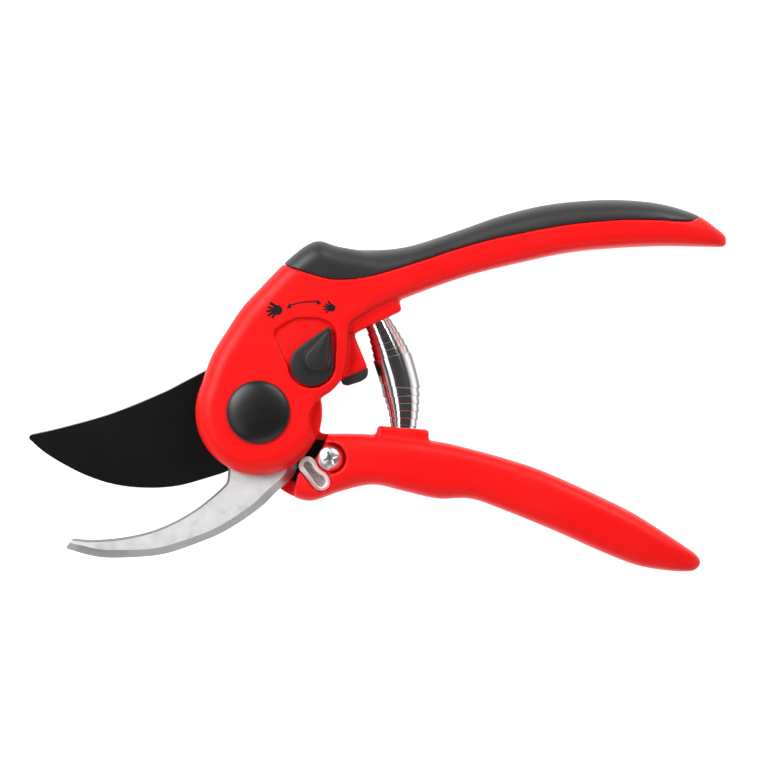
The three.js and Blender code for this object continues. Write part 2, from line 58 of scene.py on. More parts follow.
# %% [markdown]
# ## Tools of the bench
#
# Every piece below goes the same way over the bench: a primitive is added, its points are set in
# edit mode, and modifiers finish it. Castings, blades and turned pieces all need the same few
# cuts, welds and eased edges, so these are helpers. An operator acts on whatever is selected, so
# each helper starts from a clean selection.

# %% Selecting, naming and closing up
def only(piece):
    bpy.ops.object.select_all(action="DESELECT")
    piece.select_set(True)
    bpy.context.view_layer.objects.active = piece
    return piece


def named(name):
    piece = bpy.context.object
    piece.name = name
    piece.data.name = name
    return piece


def tell(title, piece):
    print(title + ":", len(piece.data.polygons), "faces")


def close_up():
    """Merges what meets, turns every face outwards and leaves edit mode."""
    bpy.ops.mesh.select_all(action="SELECT")
    bpy.ops.mesh.remove_doubles(threshold=TOUCHING)
    bpy.ops.mesh.delete_loose()
    bpy.ops.mesh.select_all(action="SELECT")
    bpy.ops.mesh.normals_make_consistent(inside=False)
    bpy.ops.object.mode_set(mode="OBJECT")

# %% Modifiers, cuts and welds
def apply(piece, kind, **settings):
    only(piece)
    modifier = piece.modifiers.new(kind.lower(), kind)
    for key, value in settings.items():
        setattr(modifier, key, value)
    bpy.ops.object.modifier_apply(modifier=modifier.name)
    return piece


def combine(piece, other, operation):
    apply(piece, "BOOLEAN", object=other, operation=operation, solver="EXACT")
    bpy.data.objects.remove(other)
    return piece


def cut(piece, *cutters):
    for cutter in cutters:
        combine(piece, cutter, "DIFFERENCE")
    return piece


def weld(piece, *others):
    for other in others:
        combine(piece, other, "UNION")
    return piece


def copy_of(piece, name):
    twin = piece.copy()
    twin.data = piece.data.copy()
    twin.name = name
    bpy.context.scene.collection.objects.link(twin)
    return twin

# %% Even skins and eased edges
def remesh(piece, voxel, smoothing):
    """An even skin over the whole piece, with its edges eased as a thick coat of paint does."""
    apply(piece, "REMESH", mode="VOXEL", voxel_size=voxel * MM)
    apply(piece, "SMOOTH", factor=0.5, iterations=smoothing)
    return piece


def ease_rim(piece, height, width, share, segments=8):
    """Rounds the rim at a height; share(x, y) says how much of the width each part of it gets."""
    weights = piece.data.attributes.new("bevel_weight_edge", "FLOAT", "EDGE")
    for edge in piece.data.edges:
        a, b = (piece.data.vertices[i].co / MM for i in edge.vertices)
        if min(a.z, b.z) > height - 0.01:
            weights.data[edge.index].value = share((a.x + b.x) / 2, (a.y + b.y) / 2)
    return apply(
        piece, "BEVEL", width=width * MM, segments=segments, limit_method="WEIGHT",
        use_clamp_overlap=False,
    )


def bevel(piece, width, segments=3, angle=40, clamp=True):
    return apply(
        piece, "BEVEL", width=width * MM, segments=segments, limit_method="ANGLE",
        angle_limit=math.radians(angle), use_clamp_overlap=clamp,
    )

# %% [markdown]
# Most parts of shears are cut or cast from a flat shape. Such a shape could be drawn with a curve
# object, but a line of points in a mesh is easier to cut and weld later. Outlines are smooth lines
# through a few points, and arcs. A slab is such an outline filled and extruded upwards.

# %% Outlines
def through(points, steps=6):
    """A smooth line through all of the points."""
    ends = [points[0], *points, points[-1]]
    line = []
    for a, b, c, d in zip(ends, ends[1:], ends[2:], ends[3:]):
        for i in range(steps):
            t = i / steps
            line.append(tuple(
                0.5 * (
                    2 * q + (r - p) * t + (2 * p - 5 * q + 4 * r - s) * t**2
                    + (3 * q - p - 3 * r + s) * t**3
                )
                for p, q, r, s in zip(a, b, c, d)
            ))
    return line + [points[-1]]


def polar(centre, r, degrees):
    angle = math.radians(degrees)
    return (centre[0] + r * math.cos(angle), centre[1] + r * math.sin(angle))


def arc(centre, r, start, end, steps=24):
    return [polar(centre, r, start + (end - start) * i / steps) for i in range(steps + 1)]


def without_repeats(outline, closest=0.02):
    return [p for i, p in enumerate(outline) if math.dist(p, outline[i - 1]) > closest]

# %% Slabs, discs and blocks
def slab(name, outline, low, high):
    outline = without_repeats(outline)
    bpy.ops.object.select_all(action="DESELECT")
    bpy.ops.mesh.primitive_circle_add(vertices=len(outline), radius=MM, fill_type="NGON")
    piece = named(name)
    bpy.ops.object.mode_set(mode="EDIT")
    rim = bmesh.from_edit_mesh(piece.data)
    for vertex, (x, y) in zip(rim.verts, outline):
        vertex.co = Vector((x, y, low)) * MM
    bmesh.update_edit_mesh(piece.data)
    bpy.ops.mesh.select_all(action="SELECT")
    bpy.ops.mesh.extrude_region_move(TRANSFORM_OT_translate={"value": (0, 0, (high - low) * MM)})
    close_up()
    return piece


def disc(name, centre, r, low, high, steps=72):
    return slab(name, arc(centre, r, 0, 360 * (1 - 1 / steps), steps - 1), low, high)


def block(name, centre, size, turn=0):
    """A box with its middle at the centre, turned about Z."""
    bpy.ops.object.select_all(action="DESELECT")
    bpy.ops.mesh.primitive_cube_add(
        size=MM, location=Vector(centre) * MM, rotation=(0, 0, math.radians(turn)),
    )
    piece = named(name)
    piece.scale = size
    bpy.ops.object.transform_apply(location=True, rotation=True, scale=True)
    return piece

# %% [markdown]
# Handles, blades and the spring change their section along their length. They could be extruded
# step by step, but a flat grid is quicker to roll up, with its columns along the piece and its rows
# round it. Its seam and ends are merged afterwards, so the skin is closed. Caps, screws and rings
# are turned on a lathe in the workshop, so here their profile is spun.

# %% Rolled skins
def skin(name, along, around, place):
    """place(u, v) gives the point at u along and v round the piece, each from 0 to 1."""
    bpy.ops.object.select_all(action="DESELECT")
    bpy.ops.mesh.primitive_grid_add(x_subdivisions=along, y_subdivisions=around, size=1)
    piece = named(name)
    bpy.ops.object.mode_set(mode="EDIT")
    grid = bmesh.from_edit_mesh(piece.data)
    for vertex in grid.verts:
        vertex.co = Vector(place(vertex.co.x + 0.5, (vertex.co.y + 0.5) % 1.0)) * MM
    bmesh.update_edit_mesh(piece.data)
    bpy.ops.mesh.select_all(action="SELECT")
    bpy.ops.mesh.remove_doubles(threshold=TOUCHING)
    bpy.ops.mesh.select_all(action="DESELECT")
    bpy.ops.mesh.select_non_manifold(extend=False)
    if any(edge.select for edge in bmesh.from_edit_mesh(piece.data).edges):
        bpy.ops.mesh.fill_holes(sides=0)
    close_up()
    return piece

# %% Turned pieces
def turned(name, profile, centre=(0, 0), steps=96):
    """A profile of radius and height, from the axis round and back to it, spun about Z."""
    bpy.ops.object.select_all(action="DESELECT")
    bpy.ops.mesh.primitive_circle_add(vertices=len(profile), radius=MM, fill_type="NOTHING")
    piece = named(name)
    bpy.ops.object.mode_set(mode="EDIT")
    line = bmesh.from_edit_mesh(piece.data)
    line.verts.ensure_lookup_table()
    for vertex, (r, z) in zip(line.verts, profile):
        vertex.co = Vector((centre[0] + r, centre[1], z)) * MM
    if profile[0][0] == 0 and profile[-1][0] == 0:
        ends = {line.verts[0], line.verts[-1]}
        line.edges.remove(next(edge for edge in line.edges if set(edge.verts) == ends))
    bmesh.update_edit_mesh(piece.data)
    bpy.ops.mesh.select_all(action="SELECT")
    bpy.ops.mesh.spin(
        steps=steps, angle=2 * math.pi, center=Vector((*centre, 0)) * MM, axis=(0, 0, 1),
        dupli=False,
    )
    close_up()
    return piece

# %% [markdown]
# ## Sizes that the pieces share
#
# The layers of real shears stack along the pivot: the rear disc of the lower handle, the cutting
# blade, the hook blade and the front plate of the upper handle. Each height could be typed where
# it is used, but pieces that touch have to agree, so what they share is written once. Cutters
# that go right through start behind everything or end beyond it.

# %% Shared sizes
FRONT = 20.3
MIDDLE = FRONT / 2
DISC_FRONT = 7.0
CUTTING = (7.1, 10.1)
HOOK = (10.2, 13.7)
PLATE_BACK = 13.8
BEYOND = 30
BEHIND = -2
PIVOT = (0, 0)
DIAL = (16.4, 14.6)
DIAL_R = 6.6
DIAL_FLOOR = 19.3
SCREW = (22.1, -14.1)
LOBES = [((15, -16.4), 2.8), ((19.15, -21.4), 3.1)]
WAIST_R = 4.5
UPPER_CUP = {"at": (36.5, 27.5), "slope": 25.6, "width": 17.2, "wall": 9, "inward": 1}
LOWER_CUP = {"at": (44.4, -4.85), "slope": -4.6, "width": 16, "wall": 6, "inward": -1}
CUP_HEIGHT = 15
CUP_HOLE_R = 4.5
CUP_HOLE_DEPTH = 3
WAIST_DEPTH = 0.9
TIP_LENGTH = 40
print("plate from", PLATE_BACK, "to", FRONT, "mm, dial at", DIAL, "screw at", SCREW)

# %% Outlines and depth of a handle
def smooth_step(x, low, high):
    t = min(max((x - low) / (high - low), 0), 1)
    return t * t * (3 - 2 * t)


def height_at(points):
    """Height of a smooth outline at x, for an outline whose x only grows."""
    line = through(points, 24)

    def height(x):
        for (x0, y0), (x1, y1) in zip(line, line[1:]):
            if x <= x1 and x1 > x0:
                return y0 + (y1 - y0) * min(max((x - x0) / (x1 - x0), 0), 1)
        return line[-1][1]

    return height


def handle_depth(x, end):
    """Half the depth of a handle: waisted behind the head, full in the palm, round at the end."""
    waist = smooth_step(x, 42, 62) - smooth_step(x, 70, 95)
    towards_end = min(max((x - end + TIP_LENGTH) / TIP_LENGTH, 0), 1)
    return (MIDDLE - WAIST_DEPTH * waist) * math.sqrt(max(1 - 0.9 * towards_end**4, 0))

# %% The skin of a handle
SLIM_AT_START = 0.3
START_LENGTH = 20
TIP_STARTS = 0.975
TIP_SHARE = 0.025


def handle_skin(name, start, end, top, bottom, square, inset=0.0, along=120, around=64):
    """The closed body of a handle between its two outlines, a rounded square in section."""

    def place(u, v):
        spread = math.sin(u * math.pi / 2) ** 1.3
        x = start + inset + (end - start - 2 * inset) * spread
        high = top(x) - inset
        low = bottom(x) + inset
        past = max((u - TIP_STARTS) / TIP_SHARE, 0)
        pinch = math.sqrt(max(1 - past**2, 0)) if 0 < u < 1 else 0
        half_height = max((high - low) / 2, 0.3) * pinch
        half_depth = (handle_depth(x, end) - inset) * pinch
        c = math.cos(2 * math.pi * v)
        power = 2 / square(x, c)
        s = math.sin(2 * math.pi * v)
        y = (high + low) / 2 + half_height * math.copysign(abs(c) ** power, c)
        lift = half_depth * math.copysign(abs(s) ** power, s)
        under_plate = SLIM_AT_START * (1 - smooth_step(x, start, start + START_LENGTH))
        z = MIDDLE + lift * (1 - under_plate if lift > 0 else 1)
        return x, y, z

    return skin(name, along, around, place)

# %% The cups of the spring
def cup_block(name, cup):
    centre = polar(cup["at"], cup["inward"] * cup["wall"] / 2, cup["slope"] + 90)
    piece = block(name, (*centre, MIDDLE), (cup["width"], cup["wall"], CUP_HEIGHT), cup["slope"])
    return bevel(piece, 0.7, 4)


def cup_hole(name, cup):
    """The round seat of the spring, sunk into a cup."""
    depth = CUP_HOLE_DEPTH + 4
    centre = polar(cup["at"], cup["inward"] * (CUP_HOLE_DEPTH - depth / 2), cup["slope"] + 90)
    bpy.ops.object.select_all(action="DESELECT")
    bpy.ops.mesh.primitive_cylinder_add(
        vertices=64, radius=CUP_HOLE_R * MM, depth=depth * MM,
        location=Vector((*centre, MIDDLE)) * MM,
        rotation=(math.radians(90), 0, math.radians(cup["slope"])),
    )
    piece = named(name)
    bpy.ops.object.transform_apply(location=True, rotation=True, scale=True)
    return piece

# %% [markdown]
# ## The upper handle
#
# The real one is a light-alloy casting, painted red: a grip that flows into a round front plate
# over the pivot, with a post for the rubber stop and a cup for the spring. A subdivision cage could
# give its soft shape, but the round plate and the cup would spoil its even rows. So it is built as
# a potter would, from overlapping masses welded together, then given one even skin. The machined
# features are cut into that skin last, so they stay crisp.

# %% Outlines of the upper handle
upper_top = height_at([
    (-12, 21), (-5, 32), (0, 37.5), (10, 47.6), (17.5, 52.4), (24, 50.9), (32.5, 49.8), (45, 50.7),
    (60, 55.3), (75, 60.5), (90, 63.9), (107, 65.2), (122, 64.2), (134, 60.8), (141, 56.2),
    (143.1, 54.4), (143.6, 53.6),
])
upper_bottom = height_at([
    (-12, 18), (0, 20), (16, 21), (27.5, 25.8), (36, 31.2), (50, 36.9), (65, 42.1), (80, 45.8),
    (95, 48.9), (110, 50.4), (125, 51), (140, 50.7), (142.8, 50.7), (143.6, 51.3),
])
HEAD_R = 19.4
plate_outline = [
    *arc(PIVOT, HEAD_R, 12.5, -205, 90),
    *through([
        (-17.58, 8.2), (-14.4, 17.2), (-9.4, 25.5), (-5, 32), (0, 37.5), (10, 47.6), (17.5, 52.4),
        (24, 50.9), (31, 49.6), (37, 48.4), (44, 45.8), (48.6, 43.4),
    ], 8)[1:],
    *through([
        (49.2, 40.8), (46, 37.4), (42, 34.6), (36, 31.3), (29.7, 28.4), (27.4, 25.6), (27.3, 18.7),
        (26.4, 12.9), (25.1, 9.4), (22.3, 6.3),
    ], 8),
]
print("plate outline:", len(plate_outline), "points")

# %% The masses of the upper handle
def upper_square(x, side):
    """Flat below, where the fingers close on it, and round on the outer side under the palm."""
    near_head = 1 - smooth_step(x, 10, 34)
    return (2.8 if side > 0 else 4.6) - (0.5 if side > 0 else 2.3) * near_head


def plate_rim(x, y):
    """The rim is broad on the outer flank and tight beside the dial."""
    beside_dial = smooth_step(x, 10, 24) * (1 - smooth_step(y, 27, 34))
    return (1 - 0.8 * beside_dial) * (1 - smooth_step(x, 43.5, 46))


BOSS = [(17.5, 11), (21, 5.6), (24.4, 9.4), (25.8, 13), (26.6, 18.7), (26.6, 28), (14, 28)]
POST = [(22, 12), (25.6, 9.9), (33.6, 13.3), (29.2, 24), (29, 27), (24, 27)]
RIM = 5.6
RAW_SKIN = {"voxel": 0.55, "smoothing": 6}


def upper_mass():
    body = handle_skin("upper_mass", -8, 143.6, upper_top, upper_bottom, upper_square)
    front = slab("front_plate", plate_outline, 10, FRONT)
    ease_rim(front, FRONT, RIM, plate_rim)
    boss = slab("dial_boss", BOSS, 1.2, 12)
    post = slab("bumper_post", POST, 3.6, 15.4)
    bevel(post, 0.5, 3)
    weld(body, front, boss, post, cup_block("upper_cup", UPPER_CUP))
    return remesh(body, **RAW_SKIN)


upper = upper_mass()
tell("upper mass", upper)

# %% [markdown]
# The soft grip is rubber moulded over the outer edge of the handle. It could be a separate shape
# laid on top, but the real one is flush with the metal. So it is a copy of the same mass, kept
# above a line that falls and rises along the handle, and the handle keeps what is below. A hair of
# space between the two makes the parting line, and a core of the handle fills the hollow grip.

# %% Part the soft grip from the handle
GRIP_LINE = [
    (6, 46.5), (10, 44.3), (20, 41.2), (26, 40.6), (35, 41.8), (50, 46.3), (65, 51.2), (80, 54.7),
    (95, 57.4), (112, 58.9), (122, 58.8), (130, 58.4), (133.6, 58.8), (135.6, 60.2), (137, 63),
]
HALF_GAP = 0.06
GRIP_WALL = 2.4
CORE_INSET = 2.7


def above_line(name, lowered):
    outline = [(x, y - lowered) for x, y in through(GRIP_LINE, 8)]
    return slab(name, [*outline, (150, 90), (-20, 90)], -5, BEYOND)


def upper_inside(name, inset):
    """The handle's own skin, drawn in."""
    return handle_skin(
        name, 12, 138, upper_top, upper_bottom, upper_square, inset=inset, along=60, around=32,
    )


grip = copy_of(upper, "soft_grip")
combine(grip, above_line("grip_region", -HALF_GAP), "INTERSECT")
core = upper_inside("grip_core", CORE_INSET)
cut(upper, above_line("above", HALF_GAP))
weld(upper, core)
cut(grip, upper_inside("grip_cavity", GRIP_WALL))
tell("handle without its grip", upper)
tell("hollow grip", grip)

# %% [markdown]
# The handle has a room behind its plate for the turning half, seats for the cap, the bolt, the dial
# and the spring, a fan-shaped recess for the dial's pointer and a scallop beside the screw. They
# could be modelled into the skin, but a cutter for each one keeps its size plain to read. A last
# fine skin then eases their rims, as paint does.

# %% Cut the seats and recesses of the upper handle
ROTOR_ROOM_R = 20.3
FINE_SKIN = 0.4
HANDLE_SKIN = 0.44


def fan_recess():
    """The shallow field that the dial's pointer sweeps."""
    outline = [
        *arc(DIAL, DIAL_R + 0.6, 190, 360, 24),
        *through([
            (23.6, 14.6), (23.8, 20), (23.4, 25.6), (19.6, 28.4), (14.5, 28.9), (10.4, 28.3),
            (5.2, 25.2),
        ], 6)[1:],
        (4.9, 23.4),
    ]
    return slab("fan", outline, DIAL_FLOOR, FRONT + 2)


cut(
    upper,
    disc("rotor_room", PIVOT, ROTOR_ROOM_R, BEHIND, PLATE_BACK, 120),
    disc("cap_seat", PIVOT, 8.4, 16.8, BEYOND),
    disc("bolt_hole", PIVOT, 4.6, 10, BEYOND),
    disc("cam_pocket", DIAL, 7.1, 5, PLATE_BACK),
    disc("cam_access", DIAL, 2.7, BEHIND, 6),
    fan_recess(),
    disc("thumb_scallop", (24.6, -3.2), 9.2, 16.6, BEYOND),
    cup_hole("upper_seat", UPPER_CUP),
)
remesh(upper, HANDLE_SKIN, 2)
remesh(grip, FINE_SKIN, 2)
tell("upper handle", upper)
tell("grip", grip)

# %% [markdown]
# ## The lower handle
#
# This casting carries the cutting blade: a thin disc runs behind the blade at the pivot, and a
# full-depth wall holds the blade's tang, its screw and its key. It could be mirrored from the upper
# handle, but its outline is its own. So it gets the same treatment with its own two outlines:
# masses welded together, one even skin, and the machined features cut into it last.

# %% Outlines of the lower handle
lower_top = height_at([
    (4, -16), (14, -6.9), (21.3, -6.7), (30, -6.7), (37, -7.1), (55, -9.1), (65, -11.3), (75, -14),
    (85, -17.2), (95, -21.4), (105, -26), (115, -31), (125, -37.3), (132.5, -42.3), (134.8, -44.2),
    (135.7, -45.5),
])
lower_bottom = height_at([
    (4, -22), (10, -25.7), (16.3, -27.3), (25, -24.4), (35, -22.3), (45, -24.4), (55, -26.6),
    (65, -26.6), (75, -30), (90, -36.1), (105, -42.8), (116, -47), (125, -48.6), (131, -49),
    (133.3, -48.8), (134.9, -47.9), (135.7, -46.7),
])
TANG = [
    (5, -12), (9.3, -20.9), (11.6, -21.6), (16, -24.2), (20.5, -25), (26, -20), (28.6, -15),
    (27.5, -10.6), (21, -8.8), (17.6, -8.4), (12, -5),
]
SHOULDER = [(2, -16), (13, -16), (11.6, -21.5), (10.3, -32), (2, -32)]

# %% Outlines of the tang's room and the key
def grown(outline, by):
    """A convex outline pushed outwards from its middle."""
    middle = [sum(p[k] for p in outline) / len(outline) for k in (0, 1)]
    reach = [math.dist(p, middle) for p in outline]
    return [
        tuple(m + (c - m) * (r + by) / r for c, m in zip(p, middle)) for p, r in zip(outline, reach)
    ]


def key_outline(inset):
    """A kidney: two lobes with straight sides, hollowed where it hugs the screw."""
    (a, r_a), (b, r_b) = LOBES
    along = math.degrees(math.atan2(b[1] - a[1], b[0] - a[0]))
    near = arc(a, r_a - inset, along + 90, along + 270, 24)
    far = arc(b, r_b - inset, along - 90, along + 90, 24)
    return [*near, *far]


def kidney(name, inset, low, high):
    piece = slab(name, key_outline(inset), low, high)
    return cut(piece, disc("waist", SCREW, WAIST_R + inset, low - 1, high + 1))

# %% The masses of the lower handle
REAR_DISC_R = 19.5


def lower_square(x, side):
    """Almost the same roundness on both sides, and all along."""
    return 4.2 if side > 0 else 4.4


def lower_mass():
    body = handle_skin("lower_handle", 6, 135.7, lower_top, lower_bottom, lower_square)
    rear = disc("rear_disc", PIVOT, REAR_DISC_R, 1.5, DISC_FRONT, 120)
    bevel(rear, 0.5, 3)
    weld(body, rear, cup_block("lower_cup", LOWER_CUP))
    return remesh(body, **RAW_SKIN)


lower = lower_mass()
tell("lower mass", lower)

# %% Cut the seats and pockets of the lower handle
HEAD_ROOM_R = 22.4
TANG_ROOM = 0.3
KEY_ROOM = 0.2

cut(
    lower,
    disc("front_room", PIVOT, HEAD_ROOM_R, DISC_FRONT, BEYOND, 120),
    slab("shoulder", SHOULDER, DISC_FRONT, BEYOND),
    slab("tang_slot", grown(TANG, TANG_ROOM), DISC_FRONT, 10.2),
    kidney("key_pocket", -KEY_ROOM, 10.0, BEYOND),
    disc("counterbore", SCREW, 4.85, 14.4, BEYOND),
    disc("screw_hole", SCREW, 2.5, 5, 20),
    disc("insert_hole", SCREW, 3.65, BEHIND, DISC_FRONT),
    disc("bushing_hole", PIVOT, 6.1, BEHIND, BEYOND),
    disc("nut_recess", PIVOT, 9.4, BEHIND, 3.8),
    cup_hole("lower_seat", LOWER_CUP),
)
remesh(lower, FINE_SKIN, 2)
tell("lower handle", lower)

# %% [markdown]
# ## The blades
#
# A ground blade is flat planes that meet at crisp lines. It could be extruded from its outline and
# bevelled, but a bevel keeps one width, and a real grind widens along the blade. So each blade is a
# skin whose section has a few corners only: a row of points at each corner, and planes between.

# %% Section-by-section blades
def line_at(points, steps=16):
    """A point at a share of the way along a smooth line, by length."""
    line = through(points, steps)
    lengths = [0]
    for a, b in zip(line, line[1:]):
        lengths.append(lengths[-1] + math.dist(a, b))

    def at(share):
        wanted = share * lengths[-1]
        past = (i for i, length in enumerate(lengths) if i and wanted <= length)
        after = next(past, len(line) - 1)
        a, b = Vector(line[after - 1]), Vector(line[after])
        return a + (b - a) * (wanted - lengths[after - 1]) / (lengths[after] - lengths[after - 1])

    return at


def blade_skin(name, one_edge, other_edge, section, along=90):
    """section(u, width) lists (share of the width from one edge, height) round the blade."""

    def place(u, v):
        a = one_edge(u)
        b = other_edge(u)
        corners = section(u, (b - a).length)
        share, z = corners[round(v * len(corners)) % len(corners)]
        return (*a.lerp(b, share), z)

    return skin(name, along, len(section(0, 1)), place)


def inside(layer, by):
    """A layer drawn in by a hair, because faces in one plane upset a weld."""
    return layer[0] + by, layer[1] - by


HUB_HOLE_R = 6.05
CRISP = 25
print("cutting blade from", *CUTTING, "mm, hook from", *HOOK, "mm")

# %% [markdown]
# The hook blade holds the branch and doesn't cut. It is bare steel, 3.5 mm thick, with a narrow
# eased inner edge and a broad ground bevel outside. Its hub is a disc with a hole, welded on, and a
# hair of bevel on every crisp edge catches the light, as a real edge does.

# %% The hook blade
hook_inner = line_at([
    (-57, -38.8), (-50, -39.2), (-40, -38.2), (-30, -35.5), (-20, -30.3), (-11, -23), (-9.5, -20),
    (-9.4, -16), (-9.2, -8),
])
hook_outer = line_at([
    (-59, -41.2), (-58.5, -42.1), (-50, -44.4), (-42, -44.75), (-30, -43.8), (-20, -40.7),
    (-10, -36.4), (0, -29.7), (5.2, -24.7), (11.4, -18.3), (12, -8),
])
INNER_BEVEL = 0.8
OUTER_BEVEL = 2.4


def hook_section(u, width):
    low, high = HOOK
    inner = min(INNER_BEVEL / width, 0.3)
    outer = min((OUTER_BEVEL + 0.5 * u) / width, 0.55)
    return [(0, low), (0, high - 0.9), (inner, high), (1 - outer, high), (1, high - 2.2), (1, low)]


hook = blade_skin("hook_blade", hook_inner, hook_outer, hook_section)
hook_hub = disc("hook_hub", PIVOT, 14.5, *inside(HOOK, 0.01), 96)
weld(hook, cut(hook_hub, disc("hole", PIVOT, HUB_HOLE_R, 5, 20)))
bevel(hook, 0.08, 2, CRISP)
tell("hook blade", hook)

# %% [markdown]
# The cutting blade is coated black and sharpened on its back face only, so its front stays flat and
# slides along the hook. Its round hub has a lug, which meets the dial's stop, and a tang that lies
# in the lower handle. All four shapes are welded into one plate before the holes are cut.

# %% The cutting blade
blade_top = line_at([
    (-70.6, -7.6), (-70.2, -6.9), (-69.2, -6.6), (-60, -4.5), (-45, -0.2), (-30, 5.9), (-22.7, 9.6),
    (-15.6, 13.3), (-8, 17),
])
blade_low = line_at([
    (-70.6, -7.6), (-70.5, -8.3), (-69.9, -8.9), (-65, -13), (-55, -18.6), (-45, -22.1),
    (-35, -23.3), (-25, -22.7), (-15, -20), (-9.5, -18.1), (-4, -15),
])
GRIND = 6.5
SPINE_EASE = 0.3
EDGE = 0.12


def cutting_section(u, width):
    low, high = CUTTING
    width = max(width, 0.5)
    grind = min(GRIND / width, 0.8)
    spine = min(SPINE_EASE / width, 0.2)
    return [
        (0, low + SPINE_EASE), (spine, low), (1 - grind, low), (1, high - EDGE), (1, high),
        (spine, high), (0, high - SPINE_EASE),
    ]


blade = blade_skin("cutting_blade_body", blade_top, blade_low, cutting_section)
lug = slab("lug", [(3, 6), *arc(PIVOT, 19.2, 56.6, 75, 10)], *inside(CUTTING, 0.02))
blade_hub = disc("blade_hub", PIVOT, 14.8, *inside(CUTTING, 0.01), 96)
weld(blade, blade_hub, lug, slab("tang", TANG, *inside(CUTTING, 0.03)))
cut(blade, disc("hole", PIVOT, HUB_HOLE_R, 0, 20), disc("hole", SCREW, 2.6, 0, 20))
bevel(blade, 0.07, 2, CRISP)
tell("cutting blade", blade)

# %% [markdown]
# ## The pivot
#
# A shouldered bolt runs through all the layers. A black domed cap covers its head in front, and a
# six-sided nut holds it behind. A cap could be a flattened ball, but the real one has a rim and a
# low dome, so its profile is spun. The nut is a six-sided slab, and a turned shape takes off its
# corners, as the factory's lathe does.

# %% Pivot pieces
cap = turned("pivot_cap_dome", [
    (0, 19.7), (8.2, 19.7), (8.2, 20.35), (9.55, 20.35), (9.65, 20.45), (9.65, 20.8), (9.5, 21.05),
    (9.0, 21.35), (8.0, 21.72), (6.6, 22.07), (5.0, 22.33), (3.4, 22.5), (1.7, 22.6), (0, 22.63),
], steps=128)
nut = slab("pivot_nut_hex", [polar(PIVOT, 7.5, 60 * i + 30) for i in range(6)], 0.35, 2.5)
nut_ball = turned("nut_ball", [(0, 0.2), (6.6, 0.2), (8.0, 1.1), (8.0, 3), (0, 3)])
combine(nut, nut_ball, "INTERSECT")
cut(nut, disc("thread_hole", PIVOT, 4.05, -1, 5))
bevel(nut, 0.1, 2, CRISP)
bolt = turned("pivot_bolt_shank", [
    (0, 0.0), (3.2, 0.0), (3.6, 0.12), (4.0, 0.5), (4.0, 3.25), (4.5, 3.25), (4.5, 16.85),
    (7.8, 16.85), (7.8, 19.0), (7.2, 19.6), (0, 19.6),
])
print("pivot pieces:", cap.name, nut.name, bolt.name)

# %% [markdown]
# ## The dial
#
# The dial is a moulded knob like a drop of water, which points at one of the two hands. A narrow
# ridge stands on it for the thumb and finger. An extruded ridge would have straight walls. This one
# is a skin through a few drops that shrink with height, so its flanks are hollow.

# %% The drop-shaped knob
def drop(r, reach, tip_r, turn, centre=DIAL):
    """A circle with straight sides to a small round tip."""
    spread = math.degrees(math.acos((r - tip_r) / reach))
    tip = polar(centre, reach, turn)
    return [
        *arc(centre, r, turn + spread, turn + 360 - spread, 48),
        *arc(tip, tip_r, turn - spread, turn + spread, 12),
    ]


DIAL_TURN = 64
DIAL_BACK = 19.35
DIAL_TOP = 21.3
knob = slab("dial_body", drop(DIAL_R, 11.3, 1.2, DIAL_TURN), DIAL_BACK, DIAL_TOP)
bevel(knob, 0.5, 4, 50, clamp=False)

# %% The finger ridge
RIDGE_MIDDLE = (DIAL[0] + 1.3, DIAL[1] + 1.5)
RIDGE_TURN = 66.5
# Each ring: radius, reach to the tip, radius of the tip, height.
RINGS = [
    (4.7, 8.9, 0.85, 21.25), (4.2, 8.85, 0.7, 21.7), (3.7, 8.8, 0.55, 22.5), (3.4, 8.7, 0.42, 23.3),
    (3.05, 8.5, 0.32, 23.7),
]


def ridge_place(u, v):
    """Both ends close in one point, and the rings lie between."""
    if u in (0, 1):
        return (*RIDGE_MIDDLE, RINGS[0 if u == 0 else -1][3])
    *sizes, height = RINGS[min(round(u * (len(RINGS) + 1)) - 1, len(RINGS) - 1)]
    outline = drop(*sizes, RIDGE_TURN, RIDGE_MIDDLE)
    return (*outline[round(v * len(outline)) % len(outline)], height)


ridge = skin("dial_ridge", len(RINGS) + 1, len(drop(3, 10, 0.5, 0)), ridge_place)
bevel(ridge, 0.25, 3, 40, clamp=False)
weld(knob, ridge, disc("dial_shaft", DIAL, 3.0, 8.6, 19.4, 48))
cut(knob, disc("hole", DIAL, 1.25, 0, 16, 32))
tell("dial", knob)

# %% [markdown]
# ## Bumper, key and screw
#
# The bumper is a rubber pad that softens the stop of the lower handle. The key is a bright kidney
# of metal with a sunken rough floor, which locks the blade's tang. The screw beside it has a domed
# head with a cross, and it turns into a bronze insert. Screws could come ready-made from a library,
# but here each one is a few lines: eased slabs for the flat pieces, and spun profiles for the rest.

# %% Bumper and key
KEY_FRONT = 13.5
KEY_FLOOR = 12.7
KEY_WALL = 1.45

bumper = slab("bumper_pad", [
    *through([(25.3, 9.8), (25.9, 8.5), (27.4, 8.1)], 5),
    *through([(31.2, 9.3), (32.9, 10.4), (33.55, 11.8), (33.5, 13.6)], 5),
], 4.2, 14.8)
bevel(bumper, 0.4, 3)
key = kidney("blade_key_plate", 0, 10.15, KEY_FRONT)
bevel(key, 0.45, 4, 60)
cut(key, kidney("key_floor", KEY_WALL, KEY_FLOOR, KEY_FRONT + 1.5))
bevel(key, 0.12, 2, 60)
weld(key, *[disc("key_pin", at, 1.6, 4.2, 10.4, 32) for at, _ in LOBES])
tell("bumper", bumper)
tell("key", key)

# %% Screw and insert
SEAT = 14.5
HEAD = 17.0
DOME = HEAD + 1.4

